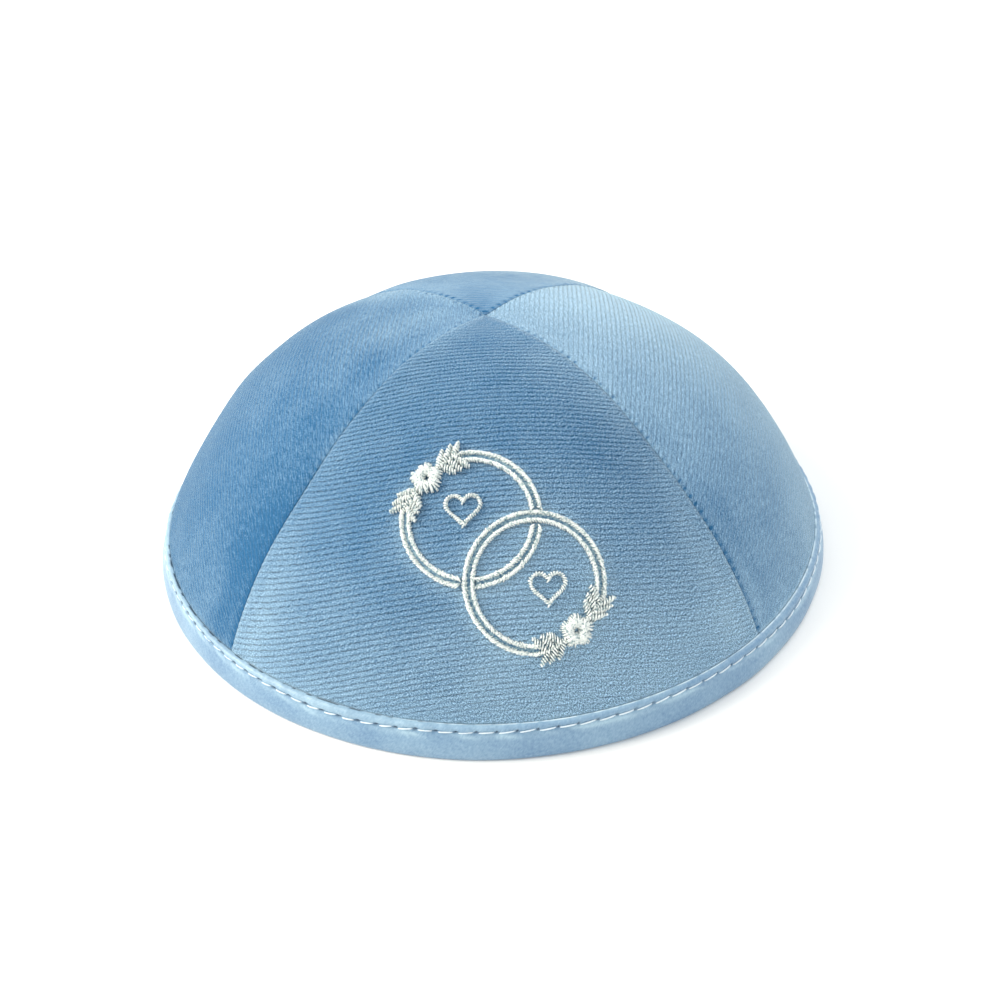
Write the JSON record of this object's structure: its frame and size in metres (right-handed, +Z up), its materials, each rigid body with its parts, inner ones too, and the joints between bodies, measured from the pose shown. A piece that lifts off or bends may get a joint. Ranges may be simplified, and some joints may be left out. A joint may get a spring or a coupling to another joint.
{
  "type": "kippah skullcap",
  "caption": "Low round cloth skullcap of sewn velvet panels with a folded satin edge binding and raised ring embroidery; covers the crown of the head.",
  "frame": {"origin": "middle of the rim on the plane that the cap rests on", "axes": "+Z up to the peak, -Y out of the embroidered panel, +X to the right of someone who faces that panel"},
  "size_m": [0.149, 0.1506, 0.0519],
  "materials": {
    "velvet": "soft ribbed velvet with a mottled nap",
    "satin_binding": "satin bias strip with a soft sheen",
    "thread": "glossy satin-stitched thread"
  },
  "bodies": {
    "root": {"gore_front": "velvet", "gore_right": "velvet", "gore_back": "velvet", "gore_left": "velvet", "binding": "satin_binding", "embroidery": "thread", "heart_upper": "thread", "heart_lower": "thread"}
  },
  "joints": []
}
